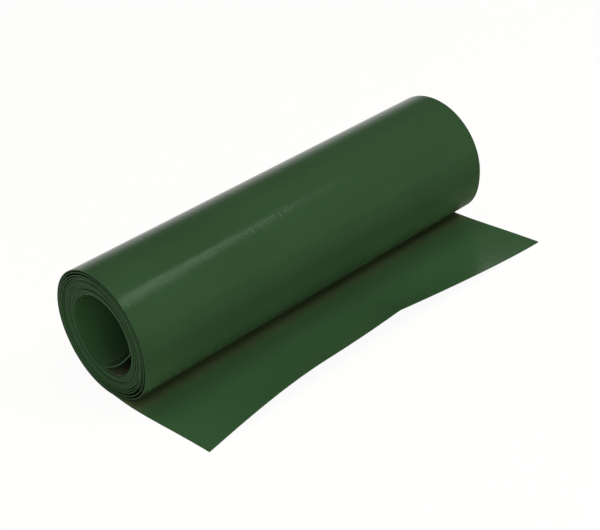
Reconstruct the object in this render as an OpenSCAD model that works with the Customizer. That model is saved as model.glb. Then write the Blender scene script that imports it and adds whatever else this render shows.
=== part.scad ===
// A roll of coated fabric strip. The strip's outer end lies loose on the ground
// and its inner end hangs loose in the hollow core.
// X: the way the outer end lies. Y: along the roll's axis. Z: up, with the ground at 0.
// Every stretch below is a length of the one strip. They meet along its bending lines.

/* [Strip] */
// Width of the strip, along the roll's axis
strip_w = 190; // [150:5:250]
// Thickness of the coated fabric
strip_t = 0.45; // [0.35:0.05:0.55]

/* [Roll] */
// Height of the roll's axis above the ground, which is also the outermost wrap's radius
axis_z = 27.2; // [26:0.2:32]
// Radius of the hollow core
core_r = 16.9; // [15.5:0.1:18]
// Air between the outermost wrap and the roll where the roll stands on it
stand_gap = 0.3; // [0.2:0.05:0.5]
// How far the outermost wrap hangs away from the roll on its outer side
wrap_slack = 0.8; // [0.4:0.1:1.2]
// Number of loosely wound turns outside the tight ones
loose_count = 2; // [1:1:3]
// Spacing of the loose turns on the side of the lying end
loose_step = 1.3; // [1:0.1:2]
// Spacing of the loose turns on the other side
snug_step = 0.8; // [0.6:0.1:1]
// Smallest air between the tight turns
wind_air = 0.04; // [0.03:0.01:0.08]

/* [Bending lines of the outermost wrap] */
// Angle that each bend opens when the roll is unrolled
bend_angle = 22.5; // [15:2.5:22.5]
// Number of wrap pieces between the ground and the roll
wrap_count = 3; // [1:1:3]

/* [Lying end] */
// Distance from under the roll's axis to the cut end
tail_reach = 58.2; // [50:0.2:80]
// First bending line of the lying end
tail_bend_1 = 10; // [8:0.5:12]
// Distance between the bending lines of the lying end
tail_step = 10; // [8:0.5:12]
// Number of flat pieces between the first bending line and the raised end
tail_count = 2; // [1:1:2]
// Height of the crest in the raised cut end
crest_z = 9.1; // [2:0.1:12]
// Place of the crest along the cut end, from its middle
crest_y = 7.3; // [-40:0.1:40]
// Height of the shoulder beside the crest
shoulder_z = 7.7; // [1:0.1:10]
// Distance from the crest to the shoulder
shoulder_reach = 40; // [20:1:50]
// Power of the fall from the crest to the far side
crest_fall = 1.37; // [1:0.01:2]
// Power of the rise from the last bending line to the cut end
tail_rise = 1.7; // [1.2:0.1:3]

/* [Inner end] */
// Radius of the bend where the inner end leaves the core's wall
flap_curl_r = 4.5; // [4:0.5:6]
// Angle of that bend
flap_curl_angle = 46; // [40:1:52]
// Radius of the wide curve that the inner end takes towards its tip
flap_tip_r = 38; // [32:1:42]
// Angle of that curve
flap_tip_angle = 26; // [20:1:28]
// Air between the tip and the core's wall
flap_air = 0.8; // [0.5:0.1:2]

/* [Hidden] */
$fn = 96;
near_y = -strip_w / 2;
// Straight lengths in each bend of the inner end
curl_steps = 10;

// The roll's turns cross the level of the axis on the left and on the right. A half
// ring joins each crossing to the next one, so the turns wind inwards without a step.
outer_left = -axis_z - wrap_slack;
first_cross = axis_z - strip_t - stand_gap;
tight_right_wall = first_cross - loose_count * loose_step - core_r - strip_t;
tight_left_wall = first_cross - loose_count * snug_step - core_r - strip_t;
tight_count = floor(tight_right_wall / (strip_t + wind_air));
tight_right_step = tight_right_wall / tight_count;
tight_left_step = tight_left_wall / (tight_count - 1);
last_turn = loose_count + tight_count;

// Crossings are whole hundredths of a millimetre, so that neighbouring halves meet exactly
function hundredths(x) = round(x * 100) / 100;

// Outer surface of turn i where it crosses on the right
function right_x(i) = hundredths(i <= loose_count ? first_cross - i * loose_step
    : first_cross - loose_count * loose_step - (i - loose_count) * tight_right_step);

// Outer surface of turn i where it crosses on the left. Turn 0 is the slack outermost wrap.
function left_x(i) = hundredths(i == 0 ? outer_left
    : i <= loose_count + 1 ? -first_cross + (i - 1) * snug_step
    : -first_cross + loose_count * snug_step + (i - 1 - loose_count) * tight_left_step);

// Height of the cut end above the ground, along its length
function cut_z(y) = y > crest_y
    ? crest_z * pow(1 - (y - crest_y) / (strip_w / 2 - crest_y), crest_fall)
    : y > crest_y - shoulder_reach
        ? shoulder_z + (crest_z - shoulder_z) * pow(1 - (crest_y - y) / shoulder_reach, 2)
        : shoulder_z * sin(90 * (y - near_y) / (crest_y - shoulder_reach - near_y));

face_green = [0.06, 0.15, 0.055];
core_green = [0.05, 0.12, 0.045];

// A piece of sheet bent round an axis along Y. Angles run clockwise from straight down,
// seen from the near end: 90 is the left, -90 the right. r is the outer radius.
module bent_sheet(x, z, r, from, to) {
    translate([x, near_y, z])
        rotate([-90, 0, 0])
            rotate([0, 0, 90 + from])
                rotate_extrude(angle = to - from)
                    translate([r - strip_t, 0])
                        square([strip_t, strip_w]);
}

// A flat piece of sheet lying on the ground
module flat_sheet(from, to) {
    translate([from, near_y, 0])
        cube([to - from, strip_w, strip_t]);
}

// The outermost wrap between two angles
module wrap(from, to) {
    bent_sheet(-wrap_slack, axis_z, axis_z, from, to);
}

// Upper half of turn i, from its left crossing over the top to its right one
module upper_half(i) {
    middle = (left_x(i) + right_x(i)) / 2;
    bent_sheet(middle, axis_z, right_x(i) - middle, 90, 270);
}

// Lower half, from the right crossing of turn i to the left one of the next turn
module lower_half(i) {
    middle = (left_x(i + 1) + right_x(i)) / 2;
    bent_sheet(middle, axis_z, right_x(i) - middle, -90, 90);
}

// The stretch that lies under the roll and carries it, up to the first bend of the wrap
module ground_strip() {
    color(face_green) {
        flat_sheet(-wrap_slack, tail_bend_1);
        wrap(0, bend_angle / 2);
    }
}

// One length of the outermost wrap between two bending lines
module wrap_piece(i) {
    color(face_green)
        wrap((i - 0.5) * bend_angle, (i + 0.5) * bend_angle);
}

// The loosely wound turns, from the wrap's last bend inwards
module loose_turns() {
    color(face_green) {
        wrap(90, (wrap_count + 0.5) * bend_angle);
        for (i = [0 : loose_count - 1]) {
            upper_half(i);
            lower_half(i);
        }
    }
}

// The tightly wound turns round the hollow core
module tight_turns() {
    color(core_green) {
        for (i = [loose_count : last_turn - 1]) {
            upper_half(i);
            lower_half(i);
        }
        upper_half(last_turn);
    }
}

// Points round a curl, from one angle to another; r is the radius
function curl_side(x, z, r, from, to) = [for (a = [0 : curl_steps])
    let (angle = from + (to - from) * a / curl_steps)
    [x - r * sin(angle), z - r * cos(angle)]];

// The loose inner end: a bend off the wall, a straight run and a wide curve down to the
// lower wall. The run is as long as brings the tip to its air from the wall.
module inner_end() {
    curl_x = right_x(last_turn) - flap_curl_r;
    run_from = flap_curl_angle - 90;
    tip_to = run_from + flap_tip_angle;
    heading = [-sin(flap_curl_angle), -cos(flap_curl_angle)];
    start = [curl_x - flap_curl_r * sin(run_from), -flap_curl_r * cos(run_from)];
    tip_offset = flap_tip_r * [sin(run_from) - sin(tip_to), cos(run_from) - cos(tip_to)];
    reach = start + tip_offset;
    along = reach * heading;
    flap_run = sqrt(along * along - reach * reach + pow(core_r - flap_air, 2)) - along;
    tip_x = start[0] + flap_run * heading[0] + flap_tip_r * sin(run_from);
    tip_z = axis_z + start[1] + flap_run * heading[1] + flap_tip_r * cos(run_from);
    outside = concat(
        curl_side(curl_x, axis_z, flap_curl_r, -90, run_from),
        curl_side(tip_x, tip_z, flap_tip_r, run_from, tip_to)
    );
    inside = concat(
        curl_side(tip_x, tip_z, flap_tip_r - strip_t, tip_to, run_from),
        curl_side(curl_x, axis_z, flap_curl_r - strip_t, run_from, -90)
    );
    color(core_green)
        translate([0, -near_y, 0])
            rotate([90, 0, 0])
                linear_extrude(strip_w)
                    polygon(concat(outside, inside));
}

// One flat length of the lying end between two bending lines
module tail_piece(i) {
    color(face_green)
        flat_sheet(tail_bend_1 + (i - 1) * tail_step, tail_bend_1 + i * tail_step);
}

// The last length, flat at its bending line and raised in the middle of its cut end.
// Its surface is a grid of rows along X and columns along Y, with an under and an upper side.
module tail_end() {
    start_x = tail_bend_1 + tail_count * tail_step;
    rows = 8;
    columns = 40;
    layer = (rows + 1) * (columns + 1);
    grid = [for (side = [0, strip_t]) for (a = [0 : rows]) for (b = [0 : columns])
        let (x = start_x + (tail_reach - start_x) * a / rows, y = near_y + strip_w * b / columns)
        [x, y, side + cut_z(y) * pow(a / rows, tail_rise)]];
    function corner(side, a, b) = side * layer + a * (columns + 1) + b;
    function turned(face, flip) = flip ? [face[3], face[2], face[1], face[0]] : face;
    skins = [for (side = [0, 1]) for (a = [0 : rows - 1]) for (b = [0 : columns - 1])
        turned([corner(side, a, b), corner(side, a + 1, b),
            corner(side, a + 1, b + 1), corner(side, a, b + 1)], side == 1)];
    cut_edges = [for (a = [0, rows]) for (b = [0 : columns - 1])
        turned([corner(0, a, b), corner(0, a, b + 1), corner(1, a, b + 1), corner(1, a, b)], a == rows)];
    side_edges = [for (b = [0, columns]) for (a = [0 : rows - 1])
        turned([corner(0, a, b), corner(1, a, b), corner(1, a + 1, b), corner(0, a + 1, b)], b == columns)];
    color(face_green)
        polyhedron(grid, concat(skins, cut_edges, side_edges), convexity = 4);
}

ground_strip();
for (i = [1 : wrap_count])
    wrap_piece(i);
loose_turns();
tight_turns();
inner_end();
for (i = [1 : tail_count])
    tail_piece(i);
tail_end();
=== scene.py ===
import math

import bmesh
import bpy
from mathutils import Matrix, Vector


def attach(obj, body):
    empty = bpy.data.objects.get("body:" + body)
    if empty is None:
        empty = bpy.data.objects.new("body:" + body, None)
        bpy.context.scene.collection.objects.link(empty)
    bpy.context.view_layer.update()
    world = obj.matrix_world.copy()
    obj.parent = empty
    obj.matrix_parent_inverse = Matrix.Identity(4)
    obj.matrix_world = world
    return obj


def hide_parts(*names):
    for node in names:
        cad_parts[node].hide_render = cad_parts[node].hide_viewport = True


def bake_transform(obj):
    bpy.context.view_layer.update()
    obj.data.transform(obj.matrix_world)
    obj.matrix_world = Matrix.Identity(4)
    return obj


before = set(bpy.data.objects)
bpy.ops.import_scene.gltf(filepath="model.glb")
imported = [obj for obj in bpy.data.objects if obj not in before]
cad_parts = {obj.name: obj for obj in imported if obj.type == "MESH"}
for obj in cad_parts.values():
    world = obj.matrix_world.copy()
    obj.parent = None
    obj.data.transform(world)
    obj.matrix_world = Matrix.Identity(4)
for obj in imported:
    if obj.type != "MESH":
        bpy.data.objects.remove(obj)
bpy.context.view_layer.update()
scene = bpy.context.scene
scene.view_settings.view_transform = "Standard"


# The room. A white floor carries the roll. Soft lamps stand in front of it, low beyond the
# lying end and overhead. A long narrow one hangs high on the lying end's side, past the far
# end, and draws the sheen along the barrel. A faint one hangs further beyond the far end.

def aimed(direction_back, roll):
    """Turn of a camera that looks against direction_back and is rolled about its own axis."""
    back = direction_back.normalized()
    level = Vector((0, 0, 1)).cross(back).normalized()
    upright = back.cross(level)
    right = level * math.cos(roll) + upright * math.sin(roll)
    above = upright * math.cos(roll) - level * math.sin(roll)
    return Matrix((right, above, back)).transposed()


camera_data = bpy.data.cameras.new("camera")
camera_data.lens = 86.237
camera_data.sensor_width = 36
camera_data.clip_start = 0.01
camera = bpy.data.objects.new("camera", camera_data)
scene.collection.objects.link(camera)
yaw = math.radians(49.6962)
rise = math.radians(29.8)
tilt = math.radians(-6.7515)
level_part = math.cos(rise)
towards_camera = Vector((math.sin(yaw) * level_part, -math.cos(yaw) * level_part, math.sin(rise)))
camera.matrix_world = aimed(towards_camera, tilt).to_4x4()
camera.location = (0.404711, -0.335785, 0.313725)
scene.camera = camera

just_below = -0.00003
floor_mesh = bpy.data.meshes.new("floor")
floor_shape = bmesh.new()
bmesh.ops.create_grid(floor_shape, x_segments=1, y_segments=1, size=3)
bmesh.ops.translate(floor_shape, verts=floor_shape.verts, vec=(0, 0, just_below))
floor_shape.to_mesh(floor_mesh)
floor_shape.free()
floor = bpy.data.objects.new("floor", floor_mesh)
scene.collection.objects.link(floor)


def combine(tree, operation, *values):
    """One arithmetic node. Each input is a number or another node's output."""
    node = tree.nodes.new("ShaderNodeMath")
    node.operation = operation
    for socket, value in zip(node.inputs, values):
        if isinstance(value, (int, float)):
            socket.default_value = value
        else:
            tree.links.new(value, socket)
    return node.outputs[0]


# The floor's white shows to the camera and in the sheet's gloss, and the rest of the floor
# is matt and takes the shadow. In the gloss the white fades towards the lying end.
white_share = 0.88
more_to_camera = 0.06
paper = bpy.data.materials.new("white_paper")
paper.use_nodes = True
paper_tree = paper.node_tree
paper_tree.nodes.clear()
seen = paper_tree.nodes.new("ShaderNodeLightPath")
to_camera = seen.outputs["Is Camera Ray"]
shown = combine(paper_tree, "ADD", to_camera, seen.outputs["Is Glossy Ray"])
shown = combine(paper_tree, "ADD", shown, seen.outputs["Is Transmission Ray"])
share = combine(paper_tree, "MULTIPLY", shown, white_share)
share = combine(paper_tree, "MULTIPLY_ADD", to_camera, more_to_camera, share)
floor_place = paper_tree.nodes.new("ShaderNodeTexCoord")
floor_across = paper_tree.nodes.new("ShaderNodeSeparateXYZ")
paper_tree.links.new(floor_place.outputs["Object"], floor_across.inputs[0])
fading = paper_tree.nodes.new("ShaderNodeMapRange")
fading.interpolation_type = "SMOOTHSTEP"
fading.inputs["From Min"].default_value = -0.06
fading.inputs["From Max"].default_value = 0.03
fading.inputs["To Min"].default_value = 1.0
fading.inputs["To Max"].default_value = 0.15
paper_tree.links.new(floor_across.outputs["X"], fading.inputs["Value"])
bright = paper_tree.nodes.new("ShaderNodeEmission")
strength = combine(paper_tree, "MAXIMUM", fading.outputs[0], to_camera)
paper_tree.links.new(strength, bright.inputs["Strength"])
matt = paper_tree.nodes.new("ShaderNodeBsdfDiffuse")
matt.inputs["Color"].default_value = (0.90, 0.80, 0.68, 1)
both = paper_tree.nodes.new("ShaderNodeMixShader")
paper_tree.links.new(share, both.inputs[0])
paper_tree.links.new(matt.outputs[0], both.inputs[1])
paper_tree.links.new(bright.outputs[0], both.inputs[2])
paper_out = paper_tree.nodes.new("ShaderNodeOutputMaterial")
paper_tree.links.new(both.outputs[0], paper_out.inputs["Surface"])
floor_mesh.materials.append(paper)

# The backdrop is white to the camera, and near the ground also in the sheet's gloss. What
# lights the sheet is a dim warm grey.
sky = bpy.data.worlds.new("studio")
sky.use_nodes = True
sky_tree = sky.node_tree
sky_tree.nodes.clear()
direction = sky_tree.nodes.new("ShaderNodeTexCoord")
steepness = sky_tree.nodes.new("ShaderNodeSeparateXYZ")
sky_tree.links.new(direction.outputs["Generated"], steepness.inputs[0])
backdrop = sky_tree.nodes.new("ShaderNodeMapRange")
backdrop.inputs["From Min"].default_value = 0.10
backdrop.inputs["From Max"].default_value = 0.40
backdrop.inputs["To Min"].default_value = 1.0
backdrop.inputs["To Max"].default_value = 0.0
sky_tree.links.new(steepness.outputs["Z"], backdrop.inputs["Value"])
looked_at = sky_tree.nodes.new("ShaderNodeLightPath")
mirrored = combine(sky_tree, "MAXIMUM", looked_at.outputs["Is Glossy Ray"],
                   looked_at.outputs["Is Transmission Ray"])
low_down = combine(sky_tree, "MULTIPLY", mirrored, backdrop.outputs[0])
whiteness = combine(sky_tree, "MAXIMUM", looked_at.outputs["Is Camera Ray"], low_down)
dim = sky_tree.nodes.new("ShaderNodeBackground")
dim.inputs["Color"].default_value = (1.0, 0.88, 0.78, 1)
dim.inputs["Strength"].default_value = 0.16
white = sky_tree.nodes.new("ShaderNodeBackground")
white.inputs["Color"].default_value = (1, 1, 1, 1)
white.inputs["Strength"].default_value = 1.0
choice = sky_tree.nodes.new("ShaderNodeMixShader")
sky_tree.links.new(whiteness, choice.inputs[0])
sky_tree.links.new(dim.outputs[0], choice.inputs[1])
sky_tree.links.new(white.outputs[0], choice.inputs[2])
sky_out = sky_tree.nodes.new("ShaderNodeOutputWorld")
sky_tree.links.new(choice.outputs[0], sky_out.inputs["Surface"])
scene.world = sky

roll_middle = Vector((0, 0, 0.027))


def lamp(name, place, long_way, length, width, brightness, outline="RECTANGLE"):
    """A flat soft lamp that faces the roll. Brightness is what a mirror shows of a rectangular
    one. An ellipse gives the same light from less area, so it looks a quarter brighter."""
    data = bpy.data.lights.new(name, "AREA")
    data.shape = outline
    data.size = length
    data.size_y = width
    data.energy = brightness * math.pi * length * width
    item = bpy.data.objects.new(name, data)
    scene.collection.objects.link(item)
    out = (Vector(place) - roll_middle).normalized()
    along = Vector(long_way)
    along = (along - out * along.dot(out)).normalized()
    item.matrix_world = Matrix((along, out.cross(along), out)).transposed().to_4x4()
    item.location = place
    item.visible_camera = False


lamp("front_lamp", place=(0.53, -0.53, 0.518), long_way=(1, 1, 0),
     length=0.71, width=0.55, brightness=2.1)
lamp("side_lamp", place=(0.78, -0.28, 0.15), long_way=(0, 1, 0),
     length=0.60, width=0.20, brightness=4.2)
lamp("top_lamp", place=(0.0, -0.05, 1.6), long_way=(1, 0, 0),
     length=1.0, width=1.0, brightness=4.0)
lamp("long_lamp", place=(0.583, 0.408, 1.04), long_way=(-0.86, 0.51, 0),
     length=0.77, width=0.21, brightness=15.6, outline="ELLIPSE")
lamp("far_lamp", place=(-0.33, 0.95, 1.05), long_way=(0.1, 1, 0),
     length=0.5, width=0.40, brightness=0.16)


# The strip's run. The strip is one length of coated fabric, 190 mm wide and 0.45 mm thick.
# It lies on the ground, goes under the roll, up its outer side and round and round inwards.

strip_width = 0.190
strip_thick = 0.00045
axis_height = 0.0272
wrap_slack = 0.0008
tail_reach = 0.0582

turn_count = 15
loose_turn_count = 2
outermost_reach = 0.02645
loose_step = 0.0013
snug_step = 0.0008
tight_reach_right = 0.02385
tight_step_right = 0.0005
tight_reach_left = 0.02485
tight_depth_left = 0.0075
tight_step_left = tight_depth_left / (turn_count - loose_turn_count - 1)


def crosses_right(turn):
    """Where a turn's outer side is, level with the axis, on the lying end's side."""
    if turn <= loose_turn_count:
        return outermost_reach - loose_step * turn
    return tight_reach_right - tight_step_right * (turn - loose_turn_count)


def crosses_left(turn):
    """The same on the other side. Turn 0 is the slack outermost wrap."""
    if turn == 0:
        return -axis_height - wrap_slack
    if turn <= loose_turn_count + 1:
        return -outermost_reach + snug_step * (turn - 1)
    return -tight_reach_left + tight_step_left * (turn - 1 - loose_turn_count)


# Each stretch of the run is (start, x, z, radius, angle). Start is measured along the strip
# from its cut end on the ground. The angle is clockwise from straight down, seen from the
# near end, and x and z are the middle of the curl. A straight stretch has no radius, and its
# x and z are where it starts.
run = [(0.0, tail_reach, 0.0, None, 0.0)]
run_length = tail_reach + wrap_slack


def add_curl(x, z, radius, first, last):
    """Adds a curl to the run and returns the length up to its end."""
    run.append((run_length, x, z, radius, math.radians(first)))
    return run_length + radius * math.radians(last - first)


wrap_start = run_length
run_length = add_curl(-wrap_slack, axis_height, axis_height, 0, 90)
turn_starts = []
for turn in range(turn_count + 1):
    turn_starts.append(run_length)
    middle = (crosses_left(turn) + crosses_right(turn)) / 2
    run_length = add_curl(middle, axis_height, crosses_right(turn) - middle, 90, 270)
    if turn < turn_count:
        middle = (crosses_left(turn + 1) + crosses_right(turn)) / 2
        run_length = add_curl(middle, axis_height, crosses_right(turn) - middle, 270, 450)
flap_start = run_length
rounding = 1e-9


def on_run(along):
    """Where the strip's outer side is, and its angle, at a distance along the strip."""
    for start, x, z, radius, first in reversed(run):
        if along >= start - rounding:
            break
    if radius is None:
        return x - (along - start) * math.cos(first), z + (along - start) * math.sin(first), first
    angle = first + (along - start) / radius
    return x - radius * math.sin(angle), z - radius * math.cos(angle), angle


# The loose turns stand out under their own weight, low on the lying end's side and high on
# the other. Places along a bulge are in half turns.
low_bulges = (0.0012, 0.0011, 0.00085, 0.00045)
low_from = 0.03
low_span = 0.46
high_bulges = (0.0006, 0.0004, 0.0002)
high_from = -0.25


def bulge_out(along):
    """How far the strip stands out from its run at a distance along the strip."""
    for turn, bulge in enumerate(low_bulges):
        half_turn = (turn_starts[turn + 1] - turn_starts[turn]) / 2
        past = (along - turn_starts[turn] - half_turn) / half_turn
        if low_from < past < low_from + low_span:
            return bulge * math.sin(math.pi * (past - low_from) / low_span) ** 2
    for turn, bulge in enumerate(high_bulges, start=1):
        half_turn = (turn_starts[turn + 1] - turn_starts[turn]) / 2
        past = (along - turn_starts[turn]) / half_turn
        if high_from < past < high_from + 1:
            return bulge * math.sin(math.pi * (past - high_from)) ** 2
    return 0.0


# The strip was not wound quite true, so the turns' edges stand a little in or out. Further
# in, the turns sit back by up to 0.6 mm.
lying_drift = -0.0009
lying_drift_shape = 0.6
drift_ease = 0.03
slow_wander = 0.00022
slow_rate = 9.0
slow_start = 0.6
quick_wander = 0.00016
quick_rate = 31.0
set_back = 0.0006
set_back_from = 0.25
set_back_over = 0.9


def drift(along):
    """How far the strip has slipped along the roll at a distance along the strip."""
    if along < wrap_start:
        share_out = min(1.0, max(0.0, (tail_reach - along) / tail_reach))
        return lying_drift * math.sin(math.pi * share_out ** lying_drift_shape) ** 2
    wound = along - wrap_start
    ease = min(1.0, wound / drift_ease)
    slow = slow_wander * math.sin(wound * slow_rate + slow_start)
    quick = quick_wander * math.sin(wound * quick_rate)
    recess = set_back * min(1.0, max(0.0, (wound - set_back_from) / set_back_over))
    return ease * (slow + quick + recess)


def bent(flat):
    """Takes a point of the flat strip (along, across, up from its outer side) to its place."""
    along, y, depth = flat
    x, z, angle = on_run(along)
    inwards = depth - bulge_out(along)
    place = Vector((x + inwards * math.sin(angle), y + drift(along), z + inwards * math.cos(angle)))
    if along < wrap_start:
        place.z += lift(x, y)
    return place


# The coated fabric. Polyester yarns in a plain weave, 1.36 mm apart, lie between two skins
# of dark green PVC. The skins sag between the yarns, so the weave shows in the sheen.

yarn_gap = 0.001355
yarn_bow = 0.0009
pull_along = 70.0
pull_across = 720.0
weave_height = 0.5
rib_height = 1.3
grain_height = 0.25
pull_height = 4.5
weave_tint = 0.15
cloud_tint = 0.85
painted_light_in_patches = 1.2
painted_light_all_over = 0.4


def coated_fabric(name, deep, pale, gloss, painted_light_places):
    """The green skin with the weave under it, on the sheet's own length and width.
    Painted light is laid across it at each (distance along, reach, cover, colour): a lighter colour
    that stands in for light in shaded places."""
    material = bpy.data.materials.new(name)
    material.use_nodes = True
    tree = material.node_tree
    tree.nodes.clear()
    cut = tree.nodes.new("ShaderNodeUVMap")
    cut.uv_map = "length_and_width"
    parts = tree.nodes.new("ShaderNodeSeparateXYZ")
    tree.links.new(cut.outputs[0], parts.inputs[0])
    sway = tree.nodes.new("ShaderNodeTexNoise")
    sway.inputs["Scale"].default_value = 60
    sway.inputs["Detail"].default_value = 1
    tree.links.new(cut.outputs[0], sway.inputs["Vector"])
    bow = combine(tree, "MULTIPLY", sway.outputs[0], yarn_bow)
    length = combine(tree, "ADD", parts.outputs[0], bow)
    width = combine(tree, "ADD", parts.outputs[1], bow)
    warp = combine(tree, "COSINE", combine(tree, "MULTIPLY", length, math.pi / yarn_gap))
    weft = combine(tree, "COSINE", combine(tree, "MULTIPLY", width, math.pi / yarn_gap))
    over = combine(tree, "MULTIPLY", warp, weft)
    lengthwise = combine(tree, "MULTIPLY", combine(tree, "MULTIPLY", weft, weft),
                         combine(tree, "MULTIPLY_ADD", over, 0.5, 0.5))
    crosswise = combine(tree, "MULTIPLY", combine(tree, "MULTIPLY", warp, warp),
                        combine(tree, "MULTIPLY_ADD", over, -0.5, 0.5))
    weave = combine(tree, "ADD", lengthwise, crosswise)
    grain = tree.nodes.new("ShaderNodeTexNoise")
    grain.inputs["Scale"].default_value = 1500
    grain.inputs["Detail"].default_value = 3
    tree.links.new(cut.outputs[0], grain.inputs["Vector"])
    stretched = tree.nodes.new("ShaderNodeCombineXYZ")
    tree.links.new(combine(tree, "MULTIPLY", length, pull_along), stretched.inputs[0])
    tree.links.new(combine(tree, "MULTIPLY", width, pull_across), stretched.inputs[1])
    pull = tree.nodes.new("ShaderNodeTexNoise")
    pull.inputs["Scale"].default_value = 1
    pull.inputs["Detail"].default_value = 2
    tree.links.new(stretched.outputs[0], pull.inputs["Vector"])
    ribs = combine(tree, "MULTIPLY", combine(tree, "MULTIPLY", weft, weft), rib_height)
    height = combine(tree, "MULTIPLY_ADD", weave, weave_height, ribs)
    height = combine(tree, "MULTIPLY_ADD", grain.outputs[0], grain_height, height)
    height = combine(tree, "MULTIPLY_ADD", pull.outputs[0], pull_height, height)
    relief = tree.nodes.new("ShaderNodeBump")
    relief.inputs["Strength"].default_value = 1.0
    relief.inputs["Distance"].default_value = 0.000014
    tree.links.new(height, relief.inputs["Height"])
    cloud = tree.nodes.new("ShaderNodeTexNoise")
    cloud.inputs["Scale"].default_value = 22
    cloud.inputs["Detail"].default_value = 4
    tree.links.new(cut.outputs[0], cloud.inputs["Vector"])
    blend = combine(tree, "ADD", combine(tree, "MULTIPLY", weave, weave_tint),
                    combine(tree, "MULTIPLY", cloud.outputs[0], cloud_tint))
    tint = tree.nodes.new("ShaderNodeValToRGB")
    tint.color_ramp.elements[0].position = 0.25
    tint.color_ramp.elements[0].color = deep
    tint.color_ramp.elements[1].position = 0.75
    tint.color_ramp.elements[1].color = pale
    tree.links.new(blend, tint.inputs[0])
    polish = tree.nodes.new("ShaderNodeMapRange")
    polish.inputs["To Min"].default_value = gloss - 0.02
    polish.inputs["To Max"].default_value = gloss + 0.03
    tree.links.new(cloud.outputs[0], polish.inputs["Value"])
    skin = tree.nodes.new("ShaderNodeBsdfPrincipled")
    skin.inputs["IOR"].default_value = 1.20
    skin.inputs["Specular Tint"].default_value = (0.25, 0.363, 0.283, 1)
    colour = tint.outputs[0]
    # Painted light: at each place the colour is mixed towards a lighter painted colour, in patches,
    # and fades out over its reach.
    patchy = combine(tree, "MULTIPLY_ADD", cloud.outputs[0], painted_light_in_patches, painted_light_all_over)
    for centre, reach, cover, painted_colour in painted_light_places:
        fall = tree.nodes.new("ShaderNodeMapRange")
        fall.interpolation_type = "SMOOTHSTEP"
        fall.inputs["From Max"].default_value = reach
        fall.inputs["To Min"].default_value = cover
        fall.inputs["To Max"].default_value = 0.0
        away = combine(tree, "ABSOLUTE", combine(tree, "SUBTRACT", parts.outputs[0], centre))
        tree.links.new(away, fall.inputs["Value"])
        # In a colour mix, inputs 6 and 7 are the two colours and output 2 is the result.
        painted_over = tree.nodes.new("ShaderNodeMix")
        painted_over.data_type = "RGBA"
        painted_over.inputs[7].default_value = painted_colour
        tree.links.new(combine(tree, "MULTIPLY", fall.outputs[0], patchy), painted_over.inputs[0])
        tree.links.new(colour, painted_over.inputs[6])
        colour = painted_over.outputs[2]
    tree.links.new(colour, skin.inputs["Base Color"])
    tree.links.new(polish.outputs[0], skin.inputs["Roughness"])
    tree.links.new(relief.outputs[0], skin.inputs["Normal"])
    out = tree.nodes.new("ShaderNodeOutputMaterial")
    tree.links.new(skin.outputs[0], out.inputs["Surface"])
    return material


def cut_edge(name, yarn, skin_colour):
    """The sheared edge: yarn ends between the two skins, duller and paler than the face."""
    material = bpy.data.materials.new(name)
    material.use_nodes = True
    tree = material.node_tree
    tree.nodes.clear()
    place = tree.nodes.new("ShaderNodeTexCoord")
    ends = tree.nodes.new("ShaderNodeTexNoise")
    ends.inputs["Scale"].default_value = 900
    ends.inputs["Detail"].default_value = 3
    tree.links.new(place.outputs["Object"], ends.inputs["Vector"])
    tint = tree.nodes.new("ShaderNodeValToRGB")
    tint.color_ramp.elements[0].position = 0.35
    tint.color_ramp.elements[0].color = skin_colour
    tint.color_ramp.elements[1].position = 0.7
    tint.color_ramp.elements[1].color = yarn
    tree.links.new(ends.outputs[0], tint.inputs[0])
    relief = tree.nodes.new("ShaderNodeBump")
    relief.inputs["Strength"].default_value = 0.6
    relief.inputs["Distance"].default_value = 0.00008
    tree.links.new(ends.outputs[0], relief.inputs["Height"])
    skin = tree.nodes.new("ShaderNodeBsdfPrincipled")
    skin.inputs["Roughness"].default_value = 0.6
    skin.inputs["Specular IOR Level"].default_value = 0.1
    tree.links.new(tint.outputs[0], skin.inputs["Base Color"])
    tree.links.new(relief.outputs[0], skin.inputs["Normal"])
    out = tree.nodes.new("ShaderNodeOutputMaterial")
    tree.links.new(skin.outputs[0], out.inputs["Surface"])
    return material


# Painted light lies low on the roll's outer side, in the crease between the roll and the lying end,
# and under the loose inner end. These shaded places are painted lighter than the skin, and in the
# crease and under the end also browner, as a painted warm cast of shade.
olive_painted_light = (0.140, 0.158, 0.074, 1)
green_painted_light = (0.080, 0.165, 0.070, 1)
brown_painted_light = (0.240, 0.200, 0.130, 1)
low_on_roll = turn_starts[0] + 0.1064
in_crease = tail_reach - 0.010
under_flap = turn_starts[turn_count] - 0.040
outer_finish = coated_fabric("coated_fabric_outer", deep=(0.0205, 0.0495, 0.0198, 1),
                             pale=(0.0247, 0.058, 0.0237, 1), gloss=0.13,
                             painted_light_places=[(low_on_roll, 0.020, 0.38, green_painted_light)])
# The inner side's colours are painted about a fifth lighter than the outer side's. This is painted
# light on the lying end, whose upper face is the inner side, and it also lightens the inside of the
# turns and the core.
inner_finish = coated_fabric("coated_fabric_inner", deep=(0.0245, 0.0625, 0.0236, 1),
                             pale=(0.0292, 0.073, 0.0284, 1), gloss=0.15,
                             painted_light_places=[(in_crease, 0.014, 0.45, olive_painted_light),
                                           (under_flap, 0.022, 0.5, brown_painted_light)])
edge_finish = cut_edge("cut_edge", yarn=(0.0340, 0.0850, 0.0360, 1),
                       skin_colour=(0.0228, 0.0630, 0.0233, 1))
finishes = (outer_finish, inner_finish, edge_finish)
outer_face, inner_face, edge_face = range(len(finishes))

# An edge of the slab that turns by more than this many radians stays sharp.
sharp_bend = 0.7


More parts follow.
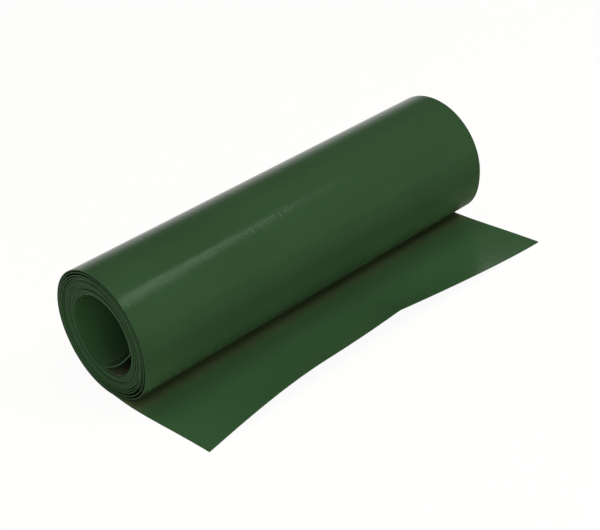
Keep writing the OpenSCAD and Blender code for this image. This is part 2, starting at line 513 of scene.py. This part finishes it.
def length_of_strip(name, first, last, pieces_along, pieces_across):
    """Cuts a length off the flat strip, gives it its thickness and bends it to its place."""
    shape = bmesh.new()
    bmesh.ops.create_grid(shape, x_segments=pieces_along, y_segments=pieces_across, size=0.5)
    bmesh.ops.scale(shape, vec=(last - first, strip_width, 1), verts=shape.verts)
    bmesh.ops.translate(shape, vec=((first + last) / 2, 0, 0), verts=shape.verts)
    thick = bmesh.ops.extrude_face_region(shape, geom=shape.faces[:])
    upper = [item for item in thick["geom"] if isinstance(item, bmesh.types.BMVert)]
    bmesh.ops.translate(shape, vec=(0, 0, strip_thick), verts=upper)
    bmesh.ops.recalc_face_normals(shape, faces=shape.faces)
    sheet_map = shape.loops.layers.uv.new("length_and_width")
    # While it is still flat, the slab's outer side faces down and its inner side up.
    for face in shape.faces:
        face.smooth = True
        face.material_index = edge_face
        if abs(face.normal.z) > 0.5:
            face.material_index = outer_face if face.normal.z < 0 else inner_face
        for corner in face.loops:
            corner[sheet_map].uv = corner.vert.co.xy
    for edge in shape.edges:
        if edge.calc_face_angle(0) > sharp_bend:
            edge.smooth = False
    for corner in shape.verts:
        corner.co = bent(corner.co)
    bmesh.ops.recalc_face_normals(shape, faces=shape.faces)
    mesh = bpy.data.meshes.new(name)
    shape.to_mesh(mesh)
    shape.free()
    for finish in finishes:
        mesh.materials.append(finish)
    piece = bpy.data.objects.new(name, mesh)
    scene.collection.objects.link(piece)
    return piece


# The lying end. The last 58 mm of the strip lie loose on the ground in front of the roll.
# They keep the curl of the roll, so the cut edge rises from both its corners to a crest,
# with a shoulder beside it.

springs_from = 0.016
crest_y = 0.0073
crest_height = 0.0091
crest_fall = 1.37
shoulder_y = -0.0327
shoulder_height = 0.0077
corner_y = strip_width / 2


def lift(x, y):
    """How far the lying end has sprung up from the ground."""
    if x <= springs_from:
        return 0.0
    if y > crest_y:
        edge = crest_height * max(0.0, 1 - (y - crest_y) / (corner_y - crest_y)) ** crest_fall
    elif y > shoulder_y:
        up_to_crest = 1 - (crest_y - y) / (crest_y - shoulder_y)
        edge = shoulder_height + (crest_height - shoulder_height) * up_to_crest ** 2
    else:
        off_corner = max(0.0, y + corner_y) / (corner_y + shoulder_y)
        edge = shoulder_height * math.sin(math.pi / 2 * off_corner)
    return edge * ((x - springs_from) / (tail_reach - springs_from)) ** 2


def at_x(x):
    """Distance along the strip to a place on the ground."""
    return tail_reach - x


middle_joins = 0.0149
middle_length = 0.0101
tip_joins = middle_joins + middle_length

lying_tip = length_of_strip("lying_tip", 0.0, at_x(tip_joins), pieces_along=40, pieces_across=120)
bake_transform(lying_tip)
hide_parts("tail_end")

lying_middle = length_of_strip("lying_middle", at_x(tip_joins), at_x(middle_joins),
                               pieces_along=12, pieces_across=80)
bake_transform(lying_middle)
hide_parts("tail_piece_2")

lying_root = length_of_strip("lying_root", at_x(middle_joins), at_x(0.0),
                             pieces_along=16, pieces_across=40)
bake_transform(lying_root)
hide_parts("tail_piece_1")


# The slack outermost wrap. It leaves the ground under the roll and hangs a little away
# from the turns inside it, so it opens first when the strip is pulled off the roll.

def at_wrap(degrees):
    """Distance along the strip to an angle on the wrap, clockwise from straight down."""
    return wrap_start + axis_height * math.radians(degrees)


first_cut = 22.5
second_cut = 45
third_cut = 67.5
wrap_end = 90

wrap_low = length_of_strip("wrap_low", at_x(0.0), at_wrap(first_cut),
                           pieces_along=12, pieces_across=40)
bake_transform(wrap_low)
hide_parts("ground_strip", "wrap_piece_1")

wrap_rising = length_of_strip("wrap_rising", at_wrap(first_cut), at_wrap(second_cut),
                              pieces_along=12, pieces_across=40)
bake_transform(wrap_rising)
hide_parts("wrap_piece_2")

wrap_upright = length_of_strip("wrap_upright", at_wrap(second_cut), at_wrap(third_cut),
                               pieces_along=12, pieces_across=40)
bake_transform(wrap_upright)
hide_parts("wrap_piece_3")

wrap_onto_roll = length_of_strip("wrap_onto_roll", at_wrap(third_cut), at_wrap(wrap_end),
                                 pieces_along=12, pieces_across=40)
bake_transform(wrap_onto_roll)


# The loose turns. The two turns outside the tight ones have sprung a little open, and they
# hang on the tight ones.

tight_start = turn_starts[loose_turn_count]
loose_wraps = length_of_strip("loose_wraps", turn_starts[0], tight_start,
                              pieces_along=288, pieces_across=40)
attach(loose_wraps, "roll")
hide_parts("loose_turns")


# The tight turns. The rest of the strip is wound tightly, turn on turn, and leaves a hollow
# core in the middle.

tight_wraps = length_of_strip("tight_wraps", tight_start, flap_start,
                              pieces_along=960, pieces_across=12)
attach(tight_wraps, "roll")
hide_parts("tight_turns")


# The inner end. It has sprung off the core's wall in a tight curl, runs straight, and ends
# in a gentle curl whose tip hangs a millimetre clear of the wall lower down. It swings
# where it leaves the wall.

leaves_wall = 270
after_curl = 316
at_tip = 342
curl_radius = 0.0045
curl_x = crosses_right(turn_count) - curl_radius
run_length = add_curl(curl_x, axis_height, curl_radius, leaves_wall, after_curl)
slope = math.radians(after_curl)
straight_x = curl_x - curl_radius * math.sin(slope)
straight_z = axis_height - curl_radius * math.cos(slope)
run.append((run_length, straight_x, straight_z, None, slope))
straight = 0.005525
run_length += straight
tip_radius = 0.038
tip_x = straight_x - straight * math.cos(slope) + tip_radius * math.sin(slope)
tip_z = straight_z + straight * math.sin(slope) + tip_radius * math.cos(slope)
run_length = add_curl(tip_x, tip_z, tip_radius, after_curl, at_tip)

inner_flap = length_of_strip("inner_flap", flap_start, run_length,
                             pieces_along=60, pieces_across=24)
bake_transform(inner_flap)
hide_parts("inner_end")
